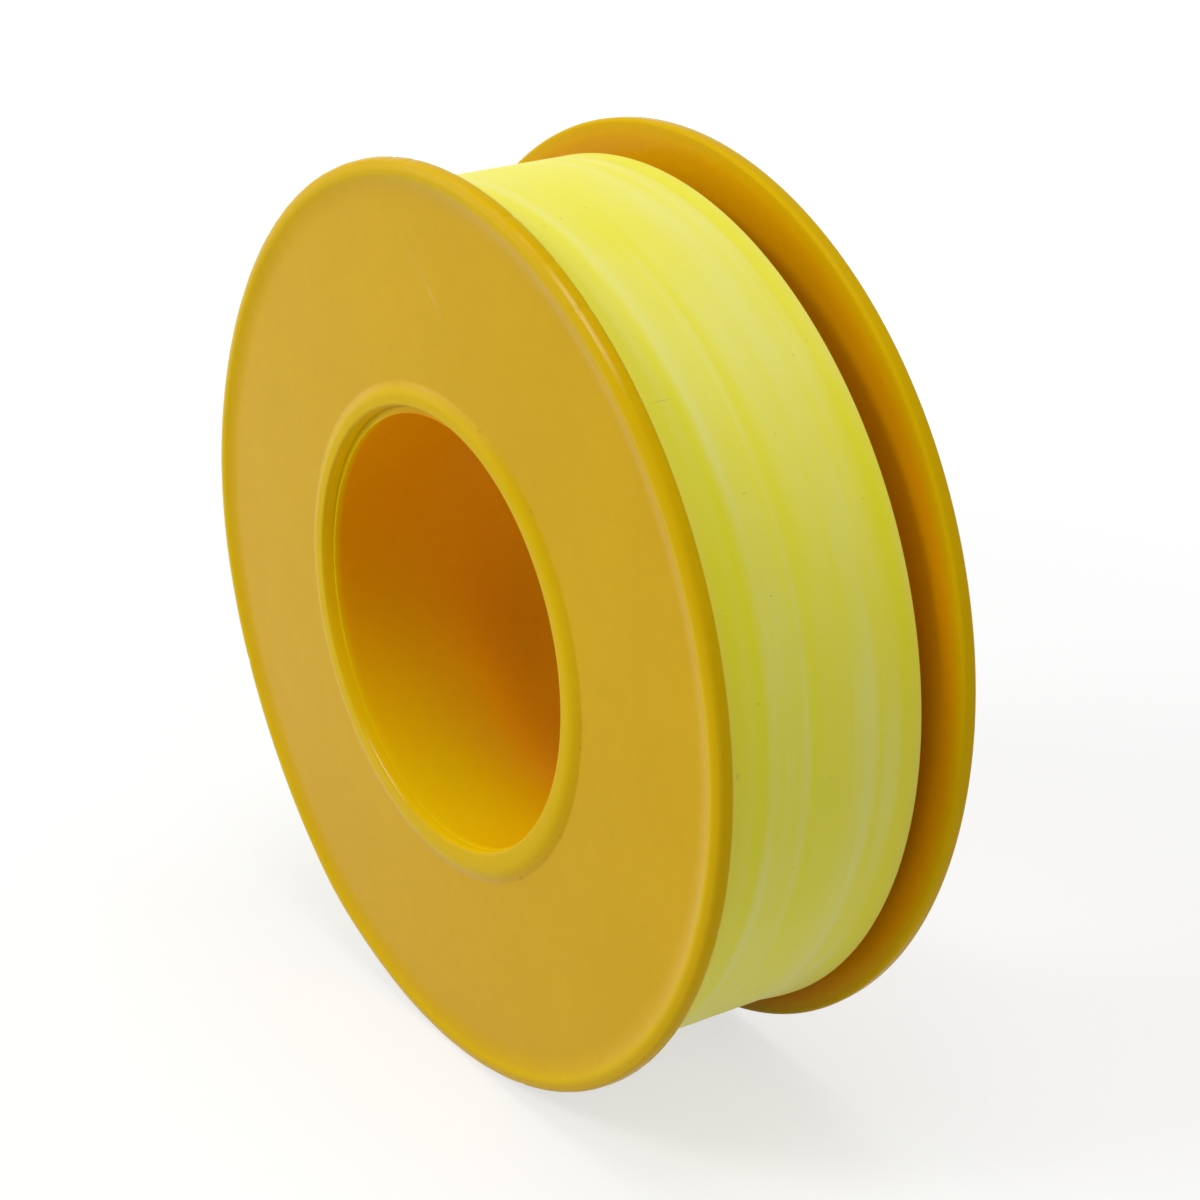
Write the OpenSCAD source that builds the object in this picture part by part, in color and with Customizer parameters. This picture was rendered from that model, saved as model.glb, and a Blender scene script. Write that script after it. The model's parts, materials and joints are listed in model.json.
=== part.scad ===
// Roll of thread seal tape: a two-part moulded spool wound with thin film.
// The roll's axis runs along Y, the front flange faces -Y, and the origin is
// the middle of the bore. All lengths are in millimetres.

/* [Spool] */
// Diameter of the bore through the hub
bore_d = 24.4; // [16:0.2:40]
// Thickness of a flange's flat web
web_t = 1.1; // [0.9:0.05:1.6]
// Height of the flange rims above the outermost turn
rim_depth = 1.53; // [1:0.01:6]

/* [Rim bead] */
// Thickness of the rim at its edge
rim_t = 0.9; // [0.7:0.05:1.3]
// Height of the bead above the web's outer face
rim_proud = 0.3; // [0.1:0.05:0.5]
// Width of the bead's crest, from the rim's edge
rim_crest_w = 0.95; // [0.8:0.05:1.3]
// Width of the slope from the crest down to the web
rim_slope_w = 0.75; // [0.4:0.05:1.2]
// Width over which the inner face falls back to the rim
rim_relief_w = 0.95; // [0.8:0.05:2.5]
// Radius that softens the bead's slope at its head and foot
rim_soft_r = 0.8; // [0.3:0.1:1.2]
// Radius of the rim's two outer corners
rim_edge_r = 0.22; // [0.1:0.02:0.4]

/* [Bore lip] */
// Height of the lip above the web's outer face
lip_proud = 0.65; // [0.5:0.05:0.9]
// Width of the lip at its foot
lip_w = 1.6; // [1.4:0.1:2.2]
// Lean of the lip's outer flank
lip_flank_w = 0.3; // [0.2:0.05:0.5]
// Radius of the lip's edge at the bore
lip_bore_r = 0.4; // [0.2:0.05:0.6]
// Radius of the lip's outer edge
lip_edge_r = 0.45; // [0.2:0.05:0.45]
// Radius at the lip's foot
lip_foot_r = 0.45; // [0.1:0.05:0.45]

/* [Hub joint] */
// Wall of the hub tube's spigot
spigot_wall = 1; // [0.8:0.05:1.5]
// Wall of the front flange's collar
collar_wall = 0.95; // [0.7:0.05:1.5]
// Length of the collar inside the flange
collar_l = 5; // [4:0.25:6]
// Width of the tube's end face that shows inside the front lip
ledge_w = 0.22; // [0.2:0.02:0.5]
// Depth from the front lip's crest to the shoulder that stops the tube
shoulder_depth = 0.65; // [0.6:0.05:1.1]
// Height of the snap bead on the spigot
snap_h = 0.2; // [0.1:0.05:0.3]
// Width of the snap bead
snap_w = 1; // [0.8:0.1:1.4]
// Clearance between the two mouldings, and between hub and tape
fit_gap = 0.05; // [0.02:0.01:0.08]

/* [Tape] */
// Width of the film
tape_w = 12; // [10:0.5:12]
// Thickness of the film
film_t = 0.1; // [0.08:0.01:0.2]
// Length of film on the roll
tape_l = 12000; // [5000:500:20000]
// Air between the layers wound inside the roll
wound_gap = 0.004; // [0:0.001:0.02]
// Gap between the tape's front edge and the front flange
tape_front_gap = 0.25; // [0.25:0.05:1]
// Gap between the tape's rear edge and the rear flange
tape_rear_gap = 1.35; // [0.25:0.05:2]
// Air between the outermost layers
layer_gap = 0.05; // [0.03:0.01:0.1]
// How far the outermost turn leans to each side
tape_lean = 0.2; // [0:0.02:0.2]
// Direction in which the outermost turn leans to the rear, up from +X
lean_angle = 315; // [0:5:360]

/* [Free end] */
// Place of the peel line on the roll, up from +X
peel_angle = 130; // [120:5:150]
// Length of film that lifts
end_l = 14; // [8:0.5:20]

/* [Hidden] */
$fn = 96;
moulding_color = [0.82, 0.61, 0.14];
film_color = [0.93, 0.9, 0.42];

bore_r = bore_d / 2;
inside_w = tape_front_gap + tape_w + tape_rear_gap;
face_y = inside_w / 2;
web_y = face_y + web_t;
rim_y = web_y + rim_proud;
lip_y = web_y + lip_proud;

// Each corner at the hub's edges takes this share of the wall
edge_share = 0.2;

// Radii of the hub joint, outwards from the bore
spigot_r = bore_r + spigot_wall;
socket_r = spigot_r + fit_gap;
hub_r = socket_r + collar_wall;
lip_open_r = bore_r + ledge_w;
shoulder_y = lip_y - shoulder_depth;
tube_end_y = shoulder_y - fit_gap;
collar_end_y = collar_l - face_y;
snap_y = collar_end_y - snap_w;
snap_ramp_share = 0.35;

// The winding's section holds the whole length of film, and the flanges
// reach past it
winding_r = sqrt(pow(hub_r, 2) + tape_l * (film_t + wound_gap) / PI);
flange_r = winding_r + rim_depth;

// The outermost turn grows by one film and one layer of air
turn = 360;
turn_pitch = film_t + layer_gap;
core_r = winding_r - 2 * turn_pitch;
tape_y = tape_front_gap - face_y;
degrees_per_radian = 180 / PI;
end_sweep = end_l / winding_r * degrees_per_radian;
end_cut_sweep = fit_gap / winding_r * degrees_per_radian;
turn_steps = 96;
end_steps = 10;
arc_steps = 8;

// Outline with a rounded corner at each [r, y, radius], as [r, y] points
function rounded_outline(corners) = [
    for (i = [0 : len(corners) - 1])
        each rounded_corner(
            corners[(i + len(corners) - 1) % len(corners)],
            corners[i],
            corners[(i + 1) % len(corners)])
];

function point(corner) = [corner.x, corner.y];
function unit(v) = v / norm(v);

// Points of the arc that touches both edges at one corner
function rounded_corner(before, corner, after) =
    corner[2] == 0 ? [point(corner)] :
    let (
        to_before = unit(point(before) - point(corner)),
        to_after = unit(point(after) - point(corner)),
        half = acos(to_before * to_after) / 2,
        centre = point(corner) + unit(to_before + to_after) * corner[2] / sin(half),
        start = point(corner) + to_before * corner[2] / tan(half) - centre,
        side = sign(cross(to_before, to_after)),
        sweep = side * (turn / 2 - 2 * half)
    )
    [
        for (i = [0 : arc_steps])
            let (a = -sweep * i / arc_steps)
            centre + [start.x * cos(a) - start.y * sin(a), start.x * sin(a) + start.y * cos(a)]
    ];

// Rim of a flange from its inner face to its web; side is -1 in front, 1 behind
function rim_corners(side) = [
    [flange_r - rim_relief_w, side * face_y, rim_soft_r],
    [flange_r, side * (rim_y - rim_t), rim_edge_r],
    [flange_r, side * rim_y, rim_edge_r],
    [flange_r - rim_crest_w, side * rim_y, rim_soft_r],
    [flange_r - rim_crest_w - rim_slope_w, side * web_y, rim_soft_r]
];

// Lip round an opening of radius open_r, from the web to the bore
function lip_corners(side, open_r) = [
    [open_r + lip_w, side * web_y, lip_foot_r],
    [open_r + lip_w - lip_flank_w, side * lip_y, lip_edge_r],
    [open_r, side * lip_y, lip_bore_r]
];

// Snap bead or groove on a wall of radius wall_r, wider by gap all round
function snap_corners(wall_r, gap) =
    let (
        half_w = snap_w / 2 + gap,
        ramp = snap_w * snap_ramp_share
    )
    [
        [wall_r, snap_y - half_w, 0],
        [wall_r + snap_h, snap_y - half_w + ramp, 0],
        [wall_r + snap_h, snap_y + half_w - ramp, 0],
        [wall_r, snap_y + half_w, 0]
    ];

// Turns a section of [r, y] points round the roll's axis
module revolve_section(outline) {
    rotate([-90, 0, 0])
        rotate_extrude()
            polygon(outline);
}

// Outer radius of the film after it has wound on by the angle a
function film_r(a) = winding_r - turn_pitch * (1 - a / turn);

// Four corners of the film's cross-section at the angle a past the peel line
function film_ring(a) =
    let (
        direction = peel_angle + a,
        front_y = tape_y + tape_lean * cos(direction - lean_angle),
        inner_r = film_r(a) - film_t
    )
    [
        for (corner = [
            [inner_r, front_y],
            [film_r(a), front_y],
            [film_r(a), front_y + tape_w],
            [inner_r, front_y + tape_w]
        ])
            [corner.x * cos(direction), corner.y, corner.x * sin(direction)]
    ];

// One unbroken strip of film from one wound angle to another
module film_strip(from_a, to_a, steps) {
    rings = [for (i = [0 : steps]) film_ring(from_a + (to_a - from_a) * i / steps)];
    ring_size = len(rings[0]);
    last = steps * ring_size;
    sides = [
        for (i = [0 : steps - 1], k = [0 : ring_size - 1])
            let (
                a = i * ring_size + k,
                b = i * ring_size + (k + 1) % ring_size
            )
            each [[a, b, b + ring_size], [a, b + ring_size, a + ring_size]]
    ];
    ends = [
        for (k = [1 : ring_size - 2])
            each [[0, k + 1, k], [last, last + k, last + k + 1]]
    ];
    polyhedron([for (ring = rings) each ring], concat(sides, ends), convexity = 4);
}

// Front moulding: flange, lip and the collar that takes the hub tube
module front_flange() {
    edge_r = collar_wall * edge_share;
    color(moulding_color)
        revolve_section(rounded_outline(concat(
            [
                [hub_r, collar_end_y, edge_r],
                [hub_r, -face_y, edge_r]
            ],
            rim_corners(-1),
            lip_corners(-1, lip_open_r),
            [
                [lip_open_r, -shoulder_y, 0],
                [socket_r, -shoulder_y, 0]
            ],
            snap_corners(socket_r, fit_gap),
            [[socket_r, collar_end_y, edge_r]]
        )));
}

// Rear moulding: flange, lip and the hub tube with its spigot
module spool_half() {
    edge_r = spigot_wall * edge_share;
    hub_shoulder_y = collar_end_y + fit_gap;
    color(moulding_color)
        revolve_section(rounded_outline(concat(
            [
                [hub_r, hub_shoulder_y, edge_r],
                [hub_r, face_y, edge_r]
            ],
            rim_corners(1),
            lip_corners(1, bore_r),
            [
                [bore_r, -tube_end_y, edge_r],
                [spigot_r, -tube_end_y, edge_r]
            ],
            snap_corners(spigot_r, 0),
            [[spigot_r, hub_shoulder_y, 0]]
        )));
}

// Inner turns of the tape, as one plain ring on the hub
module tape_core() {
    inner_r = hub_r + fit_gap;
    color(film_color)
        revolve_section([
            [inner_r, tape_y],
            [core_r, tape_y],
            [core_r, tape_y + tape_w],
            [inner_r, tape_y + tape_w]
        ]);
}

// Outermost layer of the tape, one turn of a spiral that ends at the peel line
module tape_outer_turn() {
    color(film_color)
        film_strip(0, turn, turn_steps);
}

// Free end of the film, which lies on the roll past the peel line
module tape_end() {
    color(film_color)
        film_strip(turn + end_cut_sweep, turn + end_sweep, end_steps);
}

// Layers of a film lie on each other, so the turn's least gap to itself is
// the air between its first and its last stretch
turn_rings = [for (i = [0 : turn_steps]) film_ring(turn * i / turn_steps)];
turn_gap = min([
    for (first = [0 : end_steps], last = [turn_steps - end_steps : turn_steps])
        norm(turn_rings[last][0] - turn_rings[first][1])
]);
echo(least_gap_of_outer_turn = turn_gap);

front_flange();
spool_half();
tape_core();
tape_outer_turn();
tape_end();
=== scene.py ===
"""A roll of thread seal tape: a moulded two-part spool wound with pale yellow film."""

import json
import math

import bmesh
import bpy
from mathutils import Matrix, Vector, noise


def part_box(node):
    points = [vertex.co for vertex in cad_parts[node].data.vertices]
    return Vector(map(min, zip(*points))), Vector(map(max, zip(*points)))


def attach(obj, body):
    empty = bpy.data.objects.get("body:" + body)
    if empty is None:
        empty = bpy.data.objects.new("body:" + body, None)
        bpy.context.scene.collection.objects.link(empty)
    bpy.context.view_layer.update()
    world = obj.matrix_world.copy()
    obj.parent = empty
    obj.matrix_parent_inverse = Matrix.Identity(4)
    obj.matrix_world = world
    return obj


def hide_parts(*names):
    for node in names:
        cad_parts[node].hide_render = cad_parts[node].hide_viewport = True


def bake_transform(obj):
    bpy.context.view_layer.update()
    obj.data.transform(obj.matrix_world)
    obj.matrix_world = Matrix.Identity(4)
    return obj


MM = 0.001
FULL_TURN = 2 * math.pi

# The camera of the photograph, in units of the flange rim's visible radius
PHOTO_UNIT = 25.85 * MM
CAMERA_AZIMUTH = 56.20
CAMERA_ELEVATION = 23.34
CAMERA_DISTANCE = 6.556
CAMERA_RIGHT = 0.0746
CAMERA_UP = 0.0024
FOCAL_PIXELS = 3031
FRAME_PIXELS = 1200
SENSOR_WIDTH = 36.0
CLIP_START = 0.01

# Sections of the mouldings, in millimetres, as in the part's own source
WEB_T = 1.1
RIM_PROUD = 0.3
LIP_PROUD = 0.65
SPIGOT_WALL = 1.0
COLLAR_WALL = 0.95
LEDGE_W = 0.22
SHOULDER_DEPTH = 0.65
SNAP_H = 0.2
SNAP_W = 1.0
SNAP_RAMP_SHARE = 0.35
FIT_GAP = 0.05
HUB_EDGE_SHARE = 0.2
HUB_END_R = 0.02

# The beads' sections, finer than in the part's source
FACE_START_R = 20.0
FACE_SOFT_R = 3.0
FRONT_RIM_W = 0.96
FRONT_RIM_INNER_R = 0.3
REAR_RIM_W = 1.05
REAR_RIM_INNER_R = 0.25
WEB_DRAFT = 0.3
LIP_W = 1.62
LIP_FLANK_W = 0.65
LIP_BORE_R = 0.25
LIP_EDGE_R = 1.2
LIP_FOOT_R = 0.3

# The rim bead's corners: how far in from the edge, how far above rim_y, and
# the radius
RIDGE_IN = 0.06
RIDGE_RISE = -0.17
RIDGE_R = 0.33
CREST_IN = 0.7
CREST_RISE = 0.06
CREST_R = 0.72
FOOT_IN = 1.55
FOOT_R = 3.0

# Where the real mouldings depart from a true turned shape
JOINT_GAP = 0.002
LEAST_LEDGE_W = 0.02
OPENING_OFF_CENTRE = 0.26
OPENING_HIGH_ANGLE = math.radians(92)
REAR_TILT = 0.26
REAR_TILT_ANGLE = math.radians(-31)
REAR_SADDLE = 0.21
REAR_SADDLE_ANGLE = math.radians(47)
REAR_OVAL = 0.1
REAR_OVAL_ANGLE = math.radians(-18)
RIM_SWELLS = [
    # angle up from +X and width in degrees, height in millimetres
    (141, 25, -0.09),
    (180, 17, 0.17),
    (214, 15, -0.14),
    (239, 7, 0.15),
]
SWELL_POWER = 3
WEB_WAVE = 0.02
WEB_WAVE_R = 1.6
FRONT_WAVE_SEED = 4.3
REAR_WAVE_SEED = 8.9
RIDGE_WAVE = 0.03
RIDGE_WAVE_R = 16
RIDGE_WAVE_SEED = 9.1
RIDGE_WAVE_REACH = 4 * RIDGE_R
NICK_W = 0.18
NICKS = [
    # angle up from +X in degrees, depth in millimetres
    (109.4, 0.05),
    (100.7, 0.09),
    (96.0, 0.05),
    (75.0, 0.08),
    (66.0, 0.05),
    (58.5, 0.07),
    (-16.0, 0.06),
    (204.0, 0.08),
    (287.0, 0.06),
]

# What a moulding's points tell its material, as looks; the colours they pick add painted light and
# shade. A bead's look goes from 0 at its foot, over RIDGE_LOOK on its ridge, to 2 past it: yellower
# toward the ridge as painted light, darker past it as painted shade. The looks in the bore and
# between the flanges say how strong the painted shade is there: 0 elsewhere, 1 as a rule
RIDGE_LOOK = 1.1
LIP_LOOK = 0.5
# The bore's lower left is painted light near its mouth and painted shade deeper in
BORE_PALE_ANGLE = math.radians(252)
BORE_PALE_SHARE = 0.3
BORE_DARK_SHARE = 0.5
# Painted light inside the lip's mouth
MOUTH_LIT_LOOK = 0.25
# The top between the flanges is painted lighter than the painted shade below it
BETWEEN_PALE_ANGLE = math.radians(95)
BETWEEN_PALE_SHARE = 0.45

# Where those looks fade: at these y in the bore, at these degrees up from +X in
# its mouth, and so far in from the rim's edge between the flanges
BORE_PALE_REACH = (-5, 2.5)
BORE_DARK_REACH = (-1, 4)
MOUTH_PALE_FROM = (100, 130)
MOUTH_PALE_TO = (300, 340)
BETWEEN_ENDS_IN = (1, 0.15)

# The winding and its free end
FILM_T = 0.1
LAYER_GAP = 0.05
TURN_PITCH = FILM_T + LAYER_GAP
SPIRAL_LAYERS = 2
TAPE_LEAN = 0.2
LEAN_ANGLE = math.radians(315)
PEEL_ANGLE = math.radians(130)
END_L = 14.0
END_LAP_L = 4.0
END_SEAT = 0.004
TAPE_EDGE_R = 0.04
WINDING_OFF_CENTRE = 0.09
WINDING_LOW_ANGLE = math.radians(-60)
OUTER_LAYERS = 6
LAYER_WANDER = 0.06
WANDER_RADIAL_CYCLES = 2.5
WANDER_TURN_CYCLES = 0.3
STREAK_RELIEF = 0.015
RELIEF_CYCLES = (0.012, 0.9)
RELIEF_SEED = 3.1
FLARE_H = 0.22
FLARE_W = 2.2
FLARE_ANGLE = math.radians(-50)
FLARE_POWER = 4
CURL_H = 0.35
CURL_L = 3.0
CUT_WAVE = 0.3
CUT_CYCLES = 0.6
CUT_SEED = 5.5

# How finely the round pieces are cut
TURN_STEPS = 720
ARC_STEPS = 7
LONGEST_STEP = 0.45
FILM_STEP = 0.3
LAP_STEPS = 20
SEAM = math.radians(0.05)
SHARP_ANGLE = math.radians(35)


def smooth_step(low, high, value):
    share = min(1, max(0, (value - low) / (high - low)))
    return share * share * (3 - 2 * share)


def lobe(direction, middle, power=2):
    """1 on one side of the roll, fading to 0 a quarter turn away from it."""
    return max(0, math.cos(direction - middle)) ** power


def bell(direction, angle, half_width):
    """1 at an angle in degrees, falling off over a half width in radians."""
    away = math.remainder(direction - math.radians(angle), FULL_TURN) / half_width
    return math.exp(-away * away)


def add_camera():
    """The photograph's camera: on the front flange's right, looking slightly down."""
    azimuth = math.radians(CAMERA_AZIMUTH)
    elevation = math.radians(CAMERA_ELEVATION)
    back = Vector((
        math.sin(azimuth) * math.cos(elevation),
        -math.cos(azimuth) * math.cos(elevation),
        math.sin(elevation),
    ))
    right = Vector((math.cos(azimuth), math.sin(azimuth), 0))
    up = back.cross(right)
    data = bpy.data.cameras.new("photo_camera")
    data.sensor_width = SENSOR_WIDTH
    data.lens = SENSOR_WIDTH * FOCAL_PIXELS / FRAME_PIXELS
    data.clip_start = CLIP_START
    camera = bpy.data.objects.new("photo_camera", data)
    place = (back * CAMERA_DISTANCE + right * CAMERA_RIGHT + up * CAMERA_UP) * PHOTO_UNIT
    turn = Matrix((right, up, back)).transposed().to_4x4()
    camera.matrix_world = Matrix.Translation(place) @ turn
    bpy.context.scene.collection.objects.link(camera)
    bpy.context.scene.camera = camera


# Outlines of [radius, y] points in millimetres
def rounded_corner(before, corner, after):
    """Points of the arc of radius corner[2] that touches both edges at a corner."""
    here = Vector(corner[:2])
    if corner[2] == 0:
        return [here]
    to_before = (Vector(before[:2]) - here).normalized()
    to_after = (Vector(after[:2]) - here).normalized()
    half = to_before.angle(to_after) / 2
    centre = here + (to_before + to_after).normalized() * corner[2] / math.sin(half)
    start = here + to_before * corner[2] / math.tan(half) - centre
    side = math.copysign(1, to_before.x * to_after.y - to_before.y * to_after.x)
    sweep = side * (math.pi - 2 * half)
    return [
        centre + Matrix.Rotation(-sweep * i / ARC_STEPS, 2) @ start
        for i in range(ARC_STEPS + 1)
    ]


def rounded_outline(corners, longest_step):
    """The closed outline through [r, y, radius] corners, cut into steps no longer than given."""
    points = []
    for i, corner in enumerate(corners):
        points += rounded_corner(corners[i - 1], corner, corners[(i + 1) % len(corners)])
    outline = []
    for i, point in enumerate(points):
        after = points[(i + 1) % len(points)]
        cuts = max(1, math.ceil((after - point).length / longest_step))
        outline += [point.lerp(after, k / cuts) for k in range(cuts)]
    return outline


def rim_corners(side, edge_w, inner_r):
    """The rim of a flange from its inner face to its web; side is -1 in front, 1 behind."""
    return [
        (FACE_START_R, side * face_y, FACE_SOFT_R),
        (flange_r, side * (rim_y - edge_w), inner_r),
        (flange_r - RIDGE_IN, side * (rim_y + RIDGE_RISE), RIDGE_R),
        (flange_r - CREST_IN, side * (rim_y + CREST_RISE), CREST_R),
        (flange_r - FOOT_IN, side * web_y, FOOT_R),
    ]


def lip_corners(side, open_r):
    """The lip round an opening of radius open_r, from the web to the bore."""
    return [
        (open_r + LIP_W, side * (web_y + WEB_DRAFT), LIP_FOOT_R),
        (open_r + LIP_W - LIP_FLANK_W, side * lip_y, LIP_EDGE_R),
        (open_r, side * lip_y, LIP_BORE_R),
    ]


def snap_corners(wall_r, gap):
    """The snap bead or groove on a wall of radius wall_r, wider by gap all round."""
    half_w = SNAP_W / 2 + gap
    middle = collar_end_y - SNAP_W
    ramp = SNAP_W * SNAP_RAMP_SHARE
    return [
        (wall_r, middle - half_w, 0),
        (wall_r + SNAP_H, middle - half_w + ramp, 0),
        (wall_r + SNAP_H, middle + half_w - ramp, 0),
        (wall_r, middle + half_w, 0),
    ]


# Meshes round the roll's axis
def on_circle(radius, direction, y):
    return Vector((radius * math.cos(direction), y, radius * math.sin(direction)))


def ring_mesh(name, columns, places, closed=True):
    """Quads through columns of points in millimetres; each point's place goes to the material."""
    count = len(columns[0])
    faces = []
    for i in range(len(columns) if closed else len(columns) - 1):
        here = i * count
        there = (i + 1) % len(columns) * count
        for k in range(count):
            after = (k + 1) % count
            faces.append((here + k, here + after, there + after, there + k))
    if not closed:
        for start in (0, (len(columns) - 1) * count):
            for k in range(count // 2 - 1):
                opposite = count - 1 - k
                faces.append((start + k, start + k + 1, start + opposite - 1, start + opposite))
    mesh = bpy.data.meshes.new(name)
    mesh.from_pydata([point * MM for column in columns for point in column], [], faces)
    cleaner = bmesh.new()
    cleaner.from_mesh(mesh)
    bmesh.ops.recalc_face_normals(cleaner, faces=cleaner.faces)
    cleaner.to_mesh(mesh)
    cleaner.free()
    mesh.polygons.foreach_set("use_smooth", [True] * len(mesh.polygons))
    mesh.set_sharp_from_angle(angle=SHARP_ANGLE)
    place = mesh.attributes.new("place", "FLOAT_VECTOR", "POINT")
    place.data.foreach_set("vector", [number for point in places for number in point])
    piece = bpy.data.objects.new(name, mesh)
    bpy.context.scene.collection.objects.link(piece)
    return piece


def lathe(name, outline, directions, shift, place):
    """Turns an outline; shift says how far a point moves, and place what its material reads."""
    columns = []
    places = []
    for direction in directions:
        column = []
        for point in outline:
            moved = point + shift(point, direction)
            column.append(on_circle(moved.x, direction, moved.y))
            places.append(place(point, direction))
        columns.append(column)
    return ring_mesh(name, columns, places)


def even_directions(start, end, steps):
    return [start + (end - start) * i / steps for i in range(steps)]


# The two mouldings
def bore_painted_shade(direction, y):
    """How strong the painted shade is in the bore: on one side it is painted light near the mouth
    and darkest deeper in.
    """
    that_side = lobe(direction, BORE_PALE_ANGLE)
    pale = (1 - BORE_PALE_SHARE) * that_side * (1 - smooth_step(*BORE_PALE_REACH, y))
    return 1 - pale + BORE_DARK_SHARE * that_side * smooth_step(*BORE_DARK_REACH, y)


def mouth_painted_shade(direction, y):
    """How strong the painted shade is inside the lip: painted light from the upper left to the
    bottom and on its wall up toward the crest.
    """
    turned = math.degrees(direction) % 360
    pale = smooth_step(*MOUTH_PALE_FROM, turned) * (1 - smooth_step(*MOUTH_PALE_TO, turned))
    pale = max(pale, smooth_step(web_y, lip_y - LIP_BORE_R, abs(y)))
    depth = bore_painted_shade(direction, y) * (1 - pale) + MOUTH_LIT_LOOK * pale
    return depth * (1 - smooth_step(lip_y - LIP_BORE_R, lip_y, abs(y)))


def between_painted_shade(radius, direction):
    """How strong the painted shade is between the flanges: full toward the film, fading out at the
    rim, and weaker at the top as painted light.
    """
    start, end = (flange_r - inwards for inwards in BETWEEN_ENDS_IN)
    top = BETWEEN_PALE_SHARE * lobe(direction, BETWEEN_PALE_ANGLE)
    return (1 - top) * (1 - smooth_step(start, end, radius))


def light_and_shade_look(point, direction):
    """A point's look on a bead's edge, in the bore and between the flanges, which picks painted
    light and shade in its colour.
    """
    radius, y = point
    height = abs(y)
    ridge_r = flange_r - RIDGE_IN
    ridge_y = rim_y + RIDGE_RISE
    edge = 0
    bore = 0
    between = 0
    # On a bead: painted light toward the ridge, painted shade past it
    if radius > flange_r - FOOT_IN:
        edge = smooth_step(flange_r - FOOT_IN, ridge_r, radius)
        past_ridge = 1 - smooth_step(ridge_y - RIDGE_R, ridge_y, height)
        edge += past_ridge * smooth_step(flange_r - 2 * RIDGE_R, ridge_r, radius)
    # Painted shade in the bore and between the flanges
    if height < web_y - FIT_GAP:
        if radius < hub_r:
            bore = bore_painted_shade(direction, y)
        else:
            between = between_painted_shade(radius, direction)
    # On the lip: painted light toward the bore's edge, and painted light and shade inside its mouth
    elif radius < hub_r:
        edge = LIP_LOOK * smooth_step(web_y + WEB_DRAFT, lip_y, height)
        at_bore = 1 - smooth_step(lip_open_r + LIP_BORE_R / 3, lip_open_r + LIP_BORE_R, radius)
        edge += (RIDGE_LOOK - LIP_LOOK) * at_bore
        if radius < lip_open_r + LIP_BORE_R / 2:
            bore = mouth_painted_shade(direction, y)
    return Vector((edge, bore, between))


def web_shift(radius, direction, seed):
    """A slow unevenness of the web, the same on both of its faces."""
    wave = noise.noise(on_circle(radius / flange_r * WEB_WAVE_R, direction, seed))
    return WEB_WAVE * wave * smooth_step(hub_r, flange_r, radius)


def nick_depth(direction):
    """Depth of the small dents in the front rim's outer corner."""
    half_width = NICK_W / flange_r
    return sum(deepest * bell(direction, angle, half_width) for angle, deepest in NICKS)


def swell(direction):
    """How far the front rim stands out from a true circle."""
    height = 0
    for angle, width, highest in RIM_SWELLS:
        height += highest * bell(direction, angle, math.radians(width))
    return height


def front_shift(point, direction):
    """How the front flange departs from its true turned shape."""
    radius, y = point
    shift = Vector((0, web_shift(radius, direction, FRONT_WAVE_SEED)))
    if y < -shoulder_y + FIT_GAP and radius < lip_open_r + LIP_W:
        reach = LIP_W if y < -shoulder_y else socket_r - lip_open_r
        near_opening = 1 - smooth_step(lip_open_r, lip_open_r + reach, radius)
        off_centre = OPENING_OFF_CENTRE * math.cos(direction - OPENING_HIGH_ANGLE)
        shift.x += near_opening * max(off_centre, LEAST_LEDGE_W - LEDGE_W)
    ridge = Vector((flange_r - RIDGE_IN, -rim_y - RIDGE_RISE))
    near_ridge = 1 - smooth_step(RIDGE_R, RIDGE_WAVE_REACH, (point - ridge).length)
    uneven = RIDGE_WAVE * abs(noise.noise(on_circle(RIDGE_WAVE_R, direction, RIDGE_WAVE_SEED)))
    shift.x -= near_ridge * (uneven + nick_depth(direction))
    shift.x += smooth_step(hub_r, flange_r, radius) ** SWELL_POWER * swell(direction)
    return shift


def rear_shift(point, direction):
    """The rear flange is slightly tilted and warped; the tube that carries it runs true."""
    radius, y = point
    if y < face_y - FIT_GAP:
        return Vector((0, 0))
    out_there = smooth_step(hub_r, flange_r, radius)
    lean = -REAR_TILT * math.cos(direction - REAR_TILT_ANGLE)
    lean += REAR_SADDLE * math.cos(2 * (direction - REAR_SADDLE_ANGLE))
    oval = REAR_OVAL * math.cos(2 * (direction - REAR_OVAL_ANGLE))
    web = Vector((0, web_shift(radius, direction, REAR_WAVE_SEED)))
    return Vector((oval, lean)) * out_there + web


def front_moulding():
    """The front flange with its lip and the collar that takes the hub tube."""
    edge_r = COLLAR_WALL * HUB_EDGE_SHARE
    outline = rounded_outline([
        (hub_r, collar_end_y, edge_r),
        (hub_r, -face_y, edge_r),
        *rim_corners(-1, FRONT_RIM_W, FRONT_RIM_INNER_R),
        *lip_corners(-1, lip_open_r),
        (lip_open_r, -shoulder_y, 0),
        (socket_r, -shoulder_y, 0),
        *snap_corners(socket_r, FIT_GAP),
        (socket_r, collar_end_y, edge_r),
    ], LONGEST_STEP)
    directions = even_directions(0, FULL_TURN, TURN_STEPS)
    return lathe("front_flange_moulding", outline, directions, front_shift, light_and_shade_look)


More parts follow.
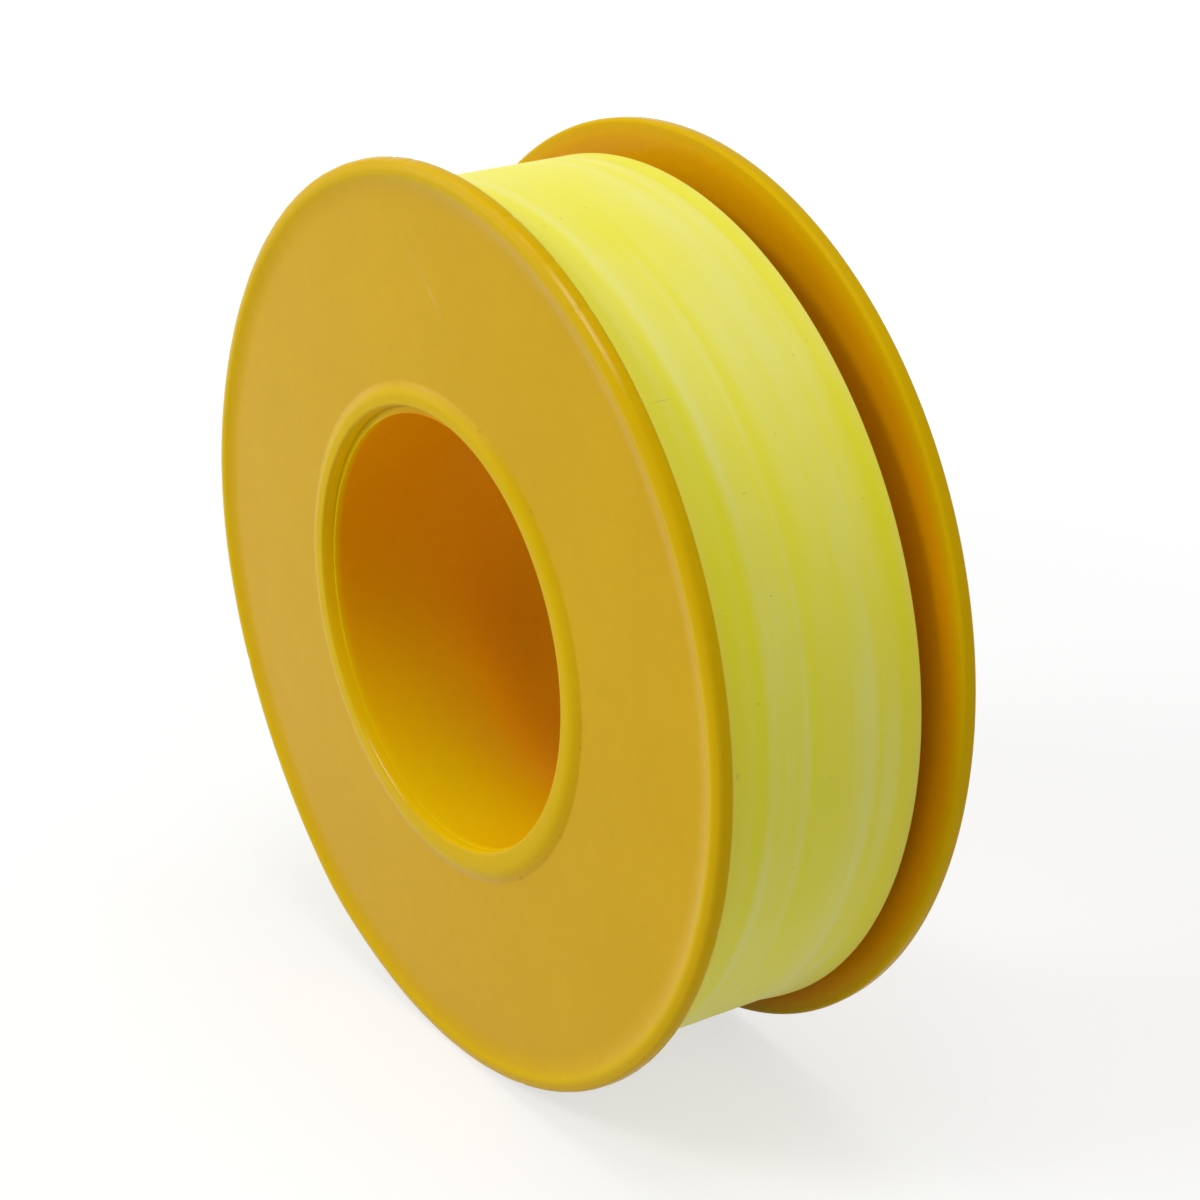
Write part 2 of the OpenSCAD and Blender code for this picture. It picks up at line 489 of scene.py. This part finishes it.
def rear_moulding():
    """The rear flange with its lip and the hub tube with its spigot."""
    edge_r = SPIGOT_WALL * HUB_EDGE_SHARE
    outline = rounded_outline([
        (hub_r, collar_end_y + FIT_GAP, edge_r),
        (hub_r, face_y, edge_r),
        *rim_corners(1, REAR_RIM_W, REAR_RIM_INNER_R),
        *lip_corners(1, bore_r),
        (bore_r, JOINT_GAP - shoulder_y, HUB_END_R),
        (spigot_r, JOINT_GAP - shoulder_y, edge_r),
        *snap_corners(spigot_r, 0),
        (spigot_r, collar_end_y + FIT_GAP, 0),
    ], LONGEST_STEP)
    directions = even_directions(0, FULL_TURN, TURN_STEPS)
    return lathe("spool_moulding", outline, directions, rear_shift, light_and_shade_look)


# The film
def film_radius(wound):
    """Outer radius of the film once it has wound on by an angle past the peel line."""
    off_centre = math.cos(PEEL_ANGLE + wound - WINDING_LOW_ANGLE) - 1
    return winding_r - TURN_PITCH * (1 - wound / FULL_TURN) + WINDING_OFF_CENTRE * off_centre


def film_front(wound):
    """Front edge of the film's outermost turn, which leans across the roll."""
    return tape_y + TAPE_LEAN * math.cos(PEEL_ANGLE + wound - LEAN_ANGLE)


def film_relief(along, across):
    """Height of the fine ridges that run along the film, in millimetres."""
    place = Vector((along * RELIEF_CYCLES[0], across * RELIEF_CYCLES[1], RELIEF_SEED))
    return STREAK_RELIEF * noise.noise(place)


def winding_shift(point, direction):
    """Brings the plain ring's outer layers to the spiral, and lets the inner ones wander."""
    radius, y = point
    wound = direction - PEEL_ANGLE
    outer = smooth_step(winding_r - OUTER_LAYERS * TURN_PITCH, winding_r - TURN_PITCH, radius)
    lap = FILM_T + END_SEAT if wound > FULL_TURN - end_lap else 0
    relief = film_relief(wound * winding_r, y - tape_y)
    rise = film_radius(wound) - lap + relief - winding_r
    flare = lobe(direction, FLARE_ANGLE, FLARE_POWER)
    rise += FLARE_H * flare * smooth_step(tape_w - FLARE_W, tape_w, y - tape_y)
    layer = on_circle(radius * WANDER_RADIAL_CYCLES, direction * WANDER_TURN_CYCLES, y)
    wander = LAYER_WANDER * noise.noise(layer)
    if y < 0:
        wander = abs(wander)
    return Vector((rise * outer, (film_front(wound) - tape_y) * outer + wander * (1 - outer)))


def winding_place(point, direction):
    """Length along the film, place across it and depth below the outermost turn."""
    return Vector(((direction - PEEL_ANGLE) * winding_r, point.y - tape_y, winding_r - point.x))


def film_winding():
    """The whole winding: a spiral's outermost turn over the edges of the turns below."""
    inner_r = hub_r + FIT_GAP
    outline = rounded_outline([
        (inner_r, tape_y + tape_w, 0),
        (inner_r, tape_y, 0),
        (winding_r, tape_y, TAPE_EDGE_R),
        (winding_r, tape_y + tape_w, TAPE_EDGE_R),
    ], FILM_STEP)
    lap_start = PEEL_ANGLE + FULL_TURN - end_lap
    directions = even_directions(PEEL_ANGLE, lap_start - SEAM, TURN_STEPS)
    directions += [lap_start - SEAM, lap_start]
    directions += even_directions(lap_start + SEAM, PEEL_ANGLE + FULL_TURN - SEAM, LAP_STEPS)
    return lathe("film_winding", outline, directions, winding_shift, winding_place)


def free_end():
    """The film from its lap on the roll, past the peel line, to its cut end."""
    lines = math.ceil(tape_w / FILM_STEP)
    outer_face = [(0, k) for k in range(lines + 1)]
    inner_face = [(1, k) for k in range(lines, -1, -1)]
    steps = math.ceil((END_LAP_L + END_L) / FILM_STEP)
    columns = []
    places = []
    for i in range(steps + 1):
        column = []
        for layer, k in outer_face + inner_face:
            across = tape_w * k / lines
            uneven = noise.noise(Vector((across * CUT_CYCLES, CUT_SEED, 0)))
            short = CUT_WAVE * (0.5 + uneven)
            end = FULL_TURN + (END_L - short) / winding_r
            wound = FULL_TURN - end_lap + (end - FULL_TURN + end_lap) * i / steps
            along = wound * winding_r
            curl = CURL_H * smooth_step(end - CURL_L / winding_r, end, wound)
            radius = film_radius(wound) + film_relief(along, across) + curl - layer * FILM_T
            column.append(on_circle(radius, PEEL_ANGLE + wound, film_front(wound) + across))
            places.append(Vector((along, across, layer * FILM_T)))
        columns.append(column)
    return ring_mesh("film_free_end", columns, places, closed=False)


# Materials
class Nodes:
    """A material's node tree, with a short way to add nodes that are already linked."""

    def __init__(self, name):
        self.material = bpy.data.materials.new(name)
        self.material.use_nodes = True
        self.tree = self.material.node_tree
        self.shader = self.tree.nodes["Principled BSDF"]

    def feed(self, socket, value):
        if isinstance(value, bpy.types.NodeSocket):
            self.tree.links.new(value, socket)
        else:
            socket.default_value = value

    def add(self, kind, feeds, **settings):
        node = self.tree.nodes.new("ShaderNode" + kind)
        for name, value in settings.items():
            setattr(node, name, value)
        for key, value in feeds.items():
            self.feed(node.inputs[key], value)
        return node.outputs

    def math(self, operation, *values):
        return self.add("Math", dict(enumerate(values)), operation=operation)[0]

    def vector(self, operation, *values, **feeds):
        return self.add("VectorMath", {**dict(enumerate(values)), **feeds}, operation=operation)

    def distance(self, value, other):
        return self.math("ABSOLUTE", self.math("SUBTRACT", value, other))

    def swing(self, value, middle, share):
        """How far a value is from its middle, times a share."""
        return self.math("MULTIPLY", self.math("SUBTRACT", value, middle), share)

    def spread(self, value, low, high):
        """A value between 0 and 1 spread evenly from low to high."""
        return self.add("MapRange", {"Value": value, "To Min": low, "To Max": high})[0]

    def fade(self, value, low, high, to_low=0.0, to_high=1.0):
        """A smooth step from to_low at low to to_high at high."""
        feeds = {
            "Value": value,
            "From Min": low,
            "From Max": high,
            "To Min": to_low,
            "To Max": to_high,
        }
        return self.add("MapRange", feeds, interpolation_type="SMOOTHSTEP")[0]

    def noise(self, place, cycles, detail=2.0, roughness=0.5):
        """Noise between 0 and 1, by cycles a millimetre in all directions or in each of three."""
        stretch = cycles if isinstance(cycles, tuple) else (cycles, cycles, cycles)
        scaled = self.vector("MULTIPLY", place, stretch)[0]
        feeds = {"Vector": scaled, "Scale": 1.0, "Detail": detail, "Roughness": roughness}
        return self.add("TexNoise", feeds)[0]

    def ramp(self, value, stops, interpolation="LINEAR"):
        """A colour ramp through (position, colour) stops."""
        outputs = self.add("ValToRGB", {0: value})
        elements = outputs[0].node.color_ramp.elements
        outputs[0].node.color_ramp.interpolation = interpolation
        while len(elements) < len(stops):
            elements.new(1.0)
        for element, (position, color) in zip(elements, stops):
            element.position = position
            element.color = (*color, 1)
        return outputs[0]

    def look_ramp(self, look, stops):
        """A colour ramp over looks from 0 to LARGEST_LOOK."""
        share = self.math("MULTIPLY", look, 1 / LARGEST_LOOK)
        return self.ramp(share, [(at / LARGEST_LOOK, color) for at, color in stops])

    def mix(self, share, first, second):
        return self.add("Mix", {0: share, 6: first, 7: second}, data_type="RGBA")[2]

    def film_spot(self, here, angle, y, half_l, half_w):
        """1 in the middle of an oval on the film, fading to 0 at its edge."""
        along = (math.radians(angle) - PEEL_ANGLE) % FULL_TURN * winding_r
        away = self.vector("SUBTRACT", here, (along, y - tape_y, 0))[0]
        away = self.vector("MULTIPLY", away, (1 / half_l, 1 / half_w, 0))[0]
        return self.fade(self.vector("LENGTH", away)[1], 1.0, SPOT_CORE)

    def place(self):
        """What each mesh stores at its points for its material."""
        return self.add("Attribute", {}, attribute_type="GEOMETRY", attribute_name="place")[1]


SPOT_CORE = 0.1
LARGEST_LOOK = 2

# The mouldings' colours, by look: the plastic's colour on the web, painted light on the beads and
# in the lip's mouth, and painted shade past the ridges, in the bore and between the flanges
EDGE_LIT_AND_SHADED_COLORS = [
    (0, (0.697, 0.417, 0.002)),
    (0.5, (0.735, 0.487, 0.002)),
    (1, (0.72, 0.445, 0.001)),
]
BORE_SHADED_COLORS = [
    (0.25, (0.92, 0.65, 0.002)),
    (1, (0.88, 0.38, 0.001)),
    (1.5, (0.66, 0.26, 0.0007)),
]
BORE_FULL_LOOK = 0.3
BETWEEN_SHADE_COLOR = (0.79, 0.33, 0.0005)

# Slow clouds and a finer mottle, which darken the mouldings
CLOUD_CYCLES = 0.11
MOTTLE_CYCLES = 1.3
CLOUD_SHARE = 0.6
EDGE_UNEVEN = 0.15
DARK_SHARE = 0.955
DARK_REACH = (0.3, 0.7)

# The mouldings' specular levels, and the looks between which they change
WEB_SHINE = 0.075
LIP_SHINE = 0.04
LIP_SHINE_LOOKS = (0.0, 0.4)
RIDGE_SHINE = 1.0
RIDGE_REACH = 0.16
DEEP_SHINE = 0.02
DEEP_SHINE_LOOKS = (0.8, 1.6)
BURNISHED = [
    # radius in millimetres, angle up from +X in degrees, half length, strength
    (25.9, 57, 5.0, 1.0),
    (25.9, 70, 1.4, 0.5),
    (25.9, 76, 0.9, 0.4),
    (25.9, 84, 1.2, 0.25),
    (12.7, 35, 11.0, 0.7),
    (12.6, 240, 3.5, 0.7),
]
BURNISHED_CORE = 0.4
LEAST_BURNISHED = 0.03

SCUFF_COLOR = (0.86, 0.6, 0.16)
SCUFF_MIDDLE = (-1.0, 0.0, 19.7)
SCUFF_TURN = math.radians(38)
SCUFF_HALF_L = 5.5
SCUFF_HALF_W = 0.35
SCUFF_CYCLES = (0.5, 0.5, 2.5)
SCUFF_WORN = (0.4, 0.65)
SCUFF_STRENGTH = 0.25

DIRT_COLOR = (0.3, 0.15, 0.01)
DIRT_HALF_W = 0.15
DIRT_CYCLES = 1.1
DIRT_FLECKS = (0.55, 0.68)
DIRT_STRENGTH = 0.55

ROUGHNESS_CYCLES = 0.4
MOULDING_ROUGHNESS = (0.16, 0.28)
SAG_CYCLES = 0.22
SAG_DEPTH = 0.05 * MM
GRAIN_CYCLES = 5.0
GRAIN_DEPTH = 0.004 * MM


def moulding_color_with_painted_light(nodes, look, uneven):
    """The plastic's colour with painted light and shade: yellower on the beads, darker past their
    ridges, and darker and more orange in the bore and between the flanges.
    """
    edge = nodes.math("ADD", look[0], nodes.spread(uneven, -EDGE_UNEVEN, EDGE_UNEVEN))
    # Painted light on the beads and lip, painted shade past the rim's ridge
    color = nodes.look_ramp(edge, EDGE_LIT_AND_SHADED_COLORS)
    # Painted shade in the bore, with painted light near its mouth
    in_bore = nodes.fade(look[1], 0.0, BORE_FULL_LOOK)
    color = nodes.mix(in_bore, color, nodes.look_ramp(look[1], BORE_SHADED_COLORS))
    # Painted shade between the flanges
    color = nodes.mix(look[2], color, (*BETWEEN_SHADE_COLOR, 1))
    return nodes.vector("SCALE", color, Scale=nodes.fade(uneven, *DARK_REACH, DARK_SHARE, 1.0))[0]


def scuff_share(nodes, here):
    """How much the one pale scuff on the front web shows."""
    feeds = {"Vector": here, "Location": SCUFF_MIDDLE, "Rotation": (0, SCUFF_TURN, 0)}
    there = nodes.add("Mapping", feeds, vector_type="TEXTURE")[0]
    scuff = nodes.add("SeparateXYZ", {0: there})
    along = nodes.fade(nodes.math("ABSOLUTE", scuff[0]), SCUFF_HALF_L, 0.0)
    across = nodes.fade(nodes.math("ABSOLUTE", scuff[2]), SCUFF_HALF_W, 0.0)
    worn = nodes.fade(nodes.noise(there, SCUFF_CYCLES, detail=3.0), *SCUFF_WORN)
    worn = nodes.math("MULTIPLY", worn, SCUFF_STRENGTH)
    return nodes.math("MULTIPLY", nodes.math("MULTIPLY", along, across), worn)


def dirt_share(nodes, here):
    """How much the flecks of dirt along the lip's foot show."""
    radius = nodes.vector("LENGTH", nodes.vector("MULTIPLY", here, (1, 0, 1))[0])[1]
    from_foot = nodes.distance(radius, lip_open_r + LIP_W - FIT_GAP)
    near_foot = nodes.fade(from_foot, DIRT_HALF_W, 0.0)
    flecks = nodes.noise(here, DIRT_CYCLES, detail=5.0, roughness=0.7)
    flecks = nodes.fade(flecks, *DIRT_FLECKS)
    return nodes.math("MULTIPLY", nodes.math("MULTIPLY", near_foot, flecks), DIRT_STRENGTH)


def moulding_shine(nodes, here, look):
    """Specular level: satin, dull out of sight, and glossy where handling has rubbed a ridge."""
    from_ridge = nodes.distance(look[0], RIDGE_LOOK)
    ridge = nodes.fade(from_ridge, RIDGE_REACH, 0.0, 0.0, RIDGE_SHINE)
    burnished = LEAST_BURNISHED
    for rubbed_r, angle, half_l, strength in BURNISHED:
        middle = on_circle(rubbed_r, math.radians(angle), -rim_y)
        away = nodes.vector("DISTANCE", here, middle)[1]
        rubbed = nodes.fade(away, half_l, BURNISHED_CORE * half_l, 0.0, strength)
        burnished = nodes.math("MAXIMUM", burnished, rubbed)
    shine = nodes.fade(look[0], *LIP_SHINE_LOOKS, WEB_SHINE, LIP_SHINE)
    past_lip = nodes.fade(look[0], *DEEP_SHINE_LOOKS, 0.0, DEEP_SHINE - LIP_SHINE)
    shine = nodes.math("ADD", shine, past_lip)
    shine = nodes.math("ADD", shine, nodes.math("MULTIPLY", ridge, burnished))
    hidden = nodes.fade(nodes.math("MAXIMUM", look[1], look[2]), 0.0, 1.0)
    return nodes.add("Mix", {0: hidden, 2: shine, 3: DEEP_SHINE}, data_type="FLOAT")[0]


def moulding_material():
    """Satin moulded plastic with painted light and shade, a fine grain, a scuff, and dirt at the
    lip's foot.
    """
    nodes = Nodes("moulded_plastic")
    inputs = nodes.shader.inputs
    coordinates = nodes.add("TexCoord", {})
    here = nodes.vector("SCALE", coordinates["Object"], Scale=1 / MM)[0]
    look = nodes.add("SeparateXYZ", {0: nodes.place()})

    clouds = nodes.math("MULTIPLY", nodes.noise(here, CLOUD_CYCLES), CLOUD_SHARE)
    mottle = nodes.noise(here, MOTTLE_CYCLES, detail=4.0)
    mottle = nodes.math("MULTIPLY", mottle, 1 - CLOUD_SHARE)
    color = moulding_color_with_painted_light(nodes, look, nodes.math("ADD", clouds, mottle))
    color = nodes.mix(scuff_share(nodes, here), color, (*SCUFF_COLOR, 1))
    color = nodes.mix(dirt_share(nodes, here), color, (*DIRT_COLOR, 1))
    nodes.feed(inputs["Base Color"], color)
    nodes.feed(inputs["Specular IOR Level"], moulding_shine(nodes, here, look))

    rough = nodes.noise(here, ROUGHNESS_CYCLES, detail=4.0)
    nodes.feed(inputs["Roughness"], nodes.spread(rough, *MOULDING_ROUGHNESS))
    sag = nodes.noise(here, SAG_CYCLES, detail=1.0)
    bump = nodes.add("Bump", {"Height": sag, "Distance": SAG_DEPTH})[0]
    grain = nodes.noise(here, GRAIN_CYCLES)
    bump = nodes.add("Bump", {"Height": grain, "Distance": GRAIN_DEPTH, "Normal": bump})[0]
    nodes.feed(inputs["Normal"], bump)
    return nodes.material


# The film's colours, by how milky it is
FILM_COLORS = [
    (0.05, (0.865, 0.83, 0.018)),
    (0.5, (0.885, 0.83, 0.065)),
    (0.95, (0.89, 0.85, 0.175)),
]
FILM_SHINE = 0.32
FILM_ROUGHNESS = (0.4, 0.55)
MILKY_RISE = 0.02 * MM

# Streaks across the film: how far from its front edge in millimetres, and how
# pale, from -1 where the film is clear and deep yellow to 1 where it is milky
STREAKS = [
    (0.0, -0.2),
    (0.7, -0.7),
    (1.4, 0.1),
    (1.95, -0.9),
    (2.7, 0.9),
    (3.3, 0.2),
    (4.3, 0.0),
    (4.8, 0.45),
    (5.25, -0.6),
    (6.0, 0.0),
    (7.5, 0.0),
    (8.3, 0.55),
    (8.9, 1.0),
    (9.2, 0.5),
    (9.4, -0.25),
    (10.0, 0.5),
    (10.5, 0.3),
    (11.0, -1.0),
    (11.5, -0.4),
    (11.9, 0.3),
]
STREAK_DRIFT = 0.45
STREAK_STRENGTH = (0.25, 0.85)
STREAK_STRENGTH_REACH = (0.3, 0.65)
LINE_SHARE = 0.6
CLOUD_MIDDLE = 0.47
FILM_CLOUD_SHARE = 0.8
FILM_CLOUDS = [
    # angle up from +X in degrees, y in millimetres, half lengths along and
    # across, and how much paler
    (65, -3.6, 13, 2.2, 0.2),
    (62, 1.5, 18, 5.0, 0.25),
    (12, -4.8, 16, 2.0, -0.28),
    (80, -1.5, 7, 1.5, -0.12),
    (30, 4.4, 15, 1.0, -0.25),
]

# Noise on the film, in cycles a millimetre along it, across it and into it
DRIFT_CYCLES = (0.02, 0.0, 0.3)
STRENGTH_CYCLES = (0.035, 0.25, 0.2)
LINE_CYCLES = (0.03, 2.6, 6.0)
FILM_CLOUD_CYCLES = (0.12, 0.4, 0.4)
SPECK_CYCLES = (2.2, 3.2, 0.0)

SPECK_COLOR = (0.45, 0.4, 0.08)
SPECK_REACH = (0.745, 0.78)
SPECK_STRENGTH = 0.5
MARK_STRENGTH = 0.4
FILM_MARKS = [
    # angle up from +X in degrees, y in millimetres, and half lengths along and across
    (77.5, -4.5, 0.12, 0.15),
    (78.5, -3.2, 0.15, 0.1),
    (80.0, -1.3, 0.1, 0.1),
    (49.0, 3.3, 0.12, 0.08),
    (34.0, -2.8, 0.1, 0.14),
    (2.0, -6.05, 0.3, 0.15),
    (47.0, -5.2, 0.05, 0.9),
]


def film_milkiness(nodes, here, lines):
    """How milky the film is, from streaks that come and go, fine lines and soft clouds."""
    drift = nodes.noise(here, DRIFT_CYCLES, detail=1.0)
    drift = nodes.spread(drift, -STREAK_DRIFT, STREAK_DRIFT)
    across = nodes.math("ADD", nodes.add("SeparateXYZ", {0: here})[1], drift)
    grey = [(at / tape_w, (0.5 + pale / 2,) * 3) for at, pale in STREAKS]
    streak = nodes.ramp(nodes.math("DIVIDE", across, tape_w), grey, interpolation="EASE")
    strength = nodes.noise(here, STRENGTH_CYCLES, detail=1.0)
    strength = nodes.fade(strength, *STREAK_STRENGTH_REACH, *STREAK_STRENGTH)
    streak = nodes.math("ADD", nodes.swing(streak, 0.5, strength), 0.5)
    fine = nodes.swing(lines, 0.5, LINE_SHARE)
    cloud = nodes.noise(here, FILM_CLOUD_CYCLES, detail=3.0)
    soft = nodes.swing(cloud, CLOUD_MIDDLE, FILM_CLOUD_SHARE)
    for angle, y, half_l, half_w, paler in FILM_CLOUDS:
        spot = nodes.film_spot(here, angle, y, half_l, half_w)
        soft = nodes.math("ADD", soft, nodes.math("MULTIPLY", spot, paler))
    return nodes.math("ADD", streak, nodes.math("ADD", fine, soft))


def speck_share(nodes, here):
    """How much the scattered specks and the few marks seen in the photograph show."""
    specks = nodes.fade(nodes.noise(here, SPECK_CYCLES), *SPECK_REACH)
    share = nodes.math("MULTIPLY", specks, SPECK_STRENGTH)
    for angle, y, half_l, half_w in FILM_MARKS:
        spot = nodes.film_spot(here, angle, y, half_l, half_w)
        share = nodes.math("MAXIMUM", share, nodes.math("MULTIPLY", spot, MARK_STRENGTH))
    return share


def film_material():
    """Satin film with streaks of milkiness along its length, as its stretching leaves them."""
    nodes = Nodes("sealing_film")
    inputs = nodes.shader.inputs
    inputs["Specular IOR Level"].default_value = FILM_SHINE
    here = nodes.place()
    lines = nodes.noise(here, LINE_CYCLES, detail=4.0, roughness=0.65)
    milkiness = film_milkiness(nodes, here, lines)
    color = nodes.ramp(milkiness, FILM_COLORS)
    color = nodes.mix(speck_share(nodes, here), color, (*SPECK_COLOR, 1))
    nodes.feed(inputs["Base Color"], color)
    nodes.feed(inputs["Roughness"], nodes.spread(lines, *FILM_ROUGHNESS))
    bump = nodes.add("Bump", {"Height": milkiness, "Distance": MILKY_RISE})[0]
    nodes.feed(inputs["Normal"], bump)
    return nodes.material


# Light and surroundings
LIGHTS = [
    # name, direction, size in metres, power in watts
    ("front_high", (-0.15, -0.73, 0.67), 0.14, 0.5),
    ("top", (0.1, 0.0, 1.0), 0.3, 0.8),
    ("right", (0.95, 0.1, 0.15), 0.3, 0.03),
    ("front_left", (-0.7, -0.65, 0.3), 0.3, 0.548),
]
LIGHT_DISTANCE = 0.45
WORLD_STRENGTH = 0.365
FLOOR_HALF_SIZE = 4
FLOOR_BOUNCE = (0.68, 0.68, 0.68, 1)
FLOOR_PAPER = (0.95, 0.95, 0.95, 1)
FLOOR_WHITE = 1.08
FLOOR_SHADE_SHARE = 0.4
FLOOR_SHADE_REACH = (0.06, 0.14)


def add_light(name, direction, size, power):
    data = bpy.data.lights.new(name, "AREA")
    data.shape = "DISK"
    data.size = size
    data.energy = power
    light = bpy.data.objects.new(name, data)
    light.location = Vector(direction).normalized() * LIGHT_DISTANCE
    light.rotation_euler = Vector(direction).to_track_quat("Z", "Y").to_euler()
    bpy.context.scene.collection.objects.link(light)


def seen_directly(tree):
    """1 for what the camera, a reflection or a clear surface shows, 0 for light on the object."""
    path = tree.nodes.new("ShaderNodeLightPath")
    seen = path.outputs["Is Camera Ray"]
    for name in ("Is Glossy Ray", "Is Transmission Ray"):
        both = tree.nodes.new("ShaderNodeMath")
        both.operation = "ADD"
        both.use_clamp = True
        tree.links.new(seen, both.inputs[0])
        tree.links.new(path.outputs[name], both.inputs[1])
        seen = both.outputs[0]
    return seen


def add_world():
    world = bpy.data.worlds.new("studio")
    bpy.context.scene.world = world
    world.use_nodes = True
    tree = world.node_tree
    background = tree.nodes["Background"]
    background.inputs["Color"].default_value = (1, 1, 1, 1)
    strength = tree.nodes.new("ShaderNodeMapRange")
    strength.inputs["To Min"].default_value = WORLD_STRENGTH
    strength.inputs["To Max"].default_value = 1
    tree.links.new(seen_directly(tree), strength.inputs["Value"])
    tree.links.new(strength.outputs[0], background.inputs["Strength"])


def floor_material():
    """A floor that looks white, with a soft shadow near the roll, and lights it as pale grey."""
    nodes = Nodes("pale_floor")
    tree = nodes.tree
    tree.nodes.remove(nodes.shader)
    paper = nodes.add("BsdfDiffuse", {"Color": FLOOR_PAPER})[0]
    white = nodes.add("Emission", {"Color": (1, 1, 1, 1), "Strength": FLOOR_WHITE})[0]
    bounce = nodes.add("BsdfDiffuse", {"Color": FLOOR_BOUNCE})[0]
    coordinates = nodes.add("TexCoord", {})
    away = nodes.vector("LENGTH", coordinates["Object"])[1]
    near = nodes.fade(away, *FLOOR_SHADE_REACH, FLOOR_SHADE_SHARE, 0.0)
    shown = nodes.add("MixShader", {0: near, 1: white, 2: paper})[0]
    surface = nodes.add("MixShader", {0: seen_directly(tree), 1: bounce, 2: shown})[0]
    tree.links.new(surface, tree.nodes["Material Output"].inputs["Surface"])
    return nodes.material


def add_floor(height):
    half = FLOOR_HALF_SIZE
    mesh = bpy.data.meshes.new("floor")
    corners = [(-half, -half, 0), (half, -half, 0), (half, half, 0), (-half, half, 0)]
    mesh.from_pydata(corners, [], [(0, 1, 2, 3)])
    mesh.materials.append(floor_material())
    floor = bpy.data.objects.new("floor", mesh)
    floor.location.z = height
    bpy.context.scene.collection.objects.link(floor)


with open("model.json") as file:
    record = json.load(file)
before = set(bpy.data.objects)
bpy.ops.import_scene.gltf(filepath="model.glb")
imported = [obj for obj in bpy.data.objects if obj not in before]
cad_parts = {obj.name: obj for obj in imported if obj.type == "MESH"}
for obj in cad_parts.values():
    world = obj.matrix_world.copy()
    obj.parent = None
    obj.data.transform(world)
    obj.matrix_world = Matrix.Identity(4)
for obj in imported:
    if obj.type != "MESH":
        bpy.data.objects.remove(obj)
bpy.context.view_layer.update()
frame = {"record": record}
add_camera()

front_low, front_high = (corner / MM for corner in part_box("front_flange"))
spool_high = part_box("spool_half")[1] / MM
core_low, core_high = (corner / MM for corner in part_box("tape_core"))
flange_r = front_high.x
lip_y = spool_high.y
web_y = lip_y - LIP_PROUD
rim_y = web_y + RIM_PROUD
face_y = web_y - WEB_T
collar_end_y = front_high.y
bore_r = frame["record"]["mounts"][0]["dims"]["r_mm"]
spigot_r = bore_r + SPIGOT_WALL
socket_r = spigot_r + FIT_GAP
hub_r = socket_r + COLLAR_WALL
lip_open_r = bore_r + LEDGE_W
shoulder_y = lip_y - SHOULDER_DEPTH
tape_y = core_low.y
tape_w = core_high.y - core_low.y
winding_r = core_high.x + SPIRAL_LAYERS * TURN_PITCH
end_lap = END_LAP_L / winding_r

moulding = moulding_material()
film = film_material()
for piece, nodes_replaced, material, slot in (
    (front_moulding(), ["front_flange"], moulding, "moulding"),
    (rear_moulding(), ["spool_half"], moulding, "moulding"),
    (film_winding(), ["tape_core", "tape_outer_turn"], film, "film"),
):
    piece.data.materials.append(material)
    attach(piece, "roll")
    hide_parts(*nodes_replaced)

loose_end = free_end()
loose_end.data.materials.append(film)
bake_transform(loose_end)
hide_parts("tape_end")

add_floor(front_low.z * MM)
for name, direction, size, power in LIGHTS:
    add_light(name, direction, size, power)
add_world()
bpy.context.scene.view_settings.view_transform = "Standard"
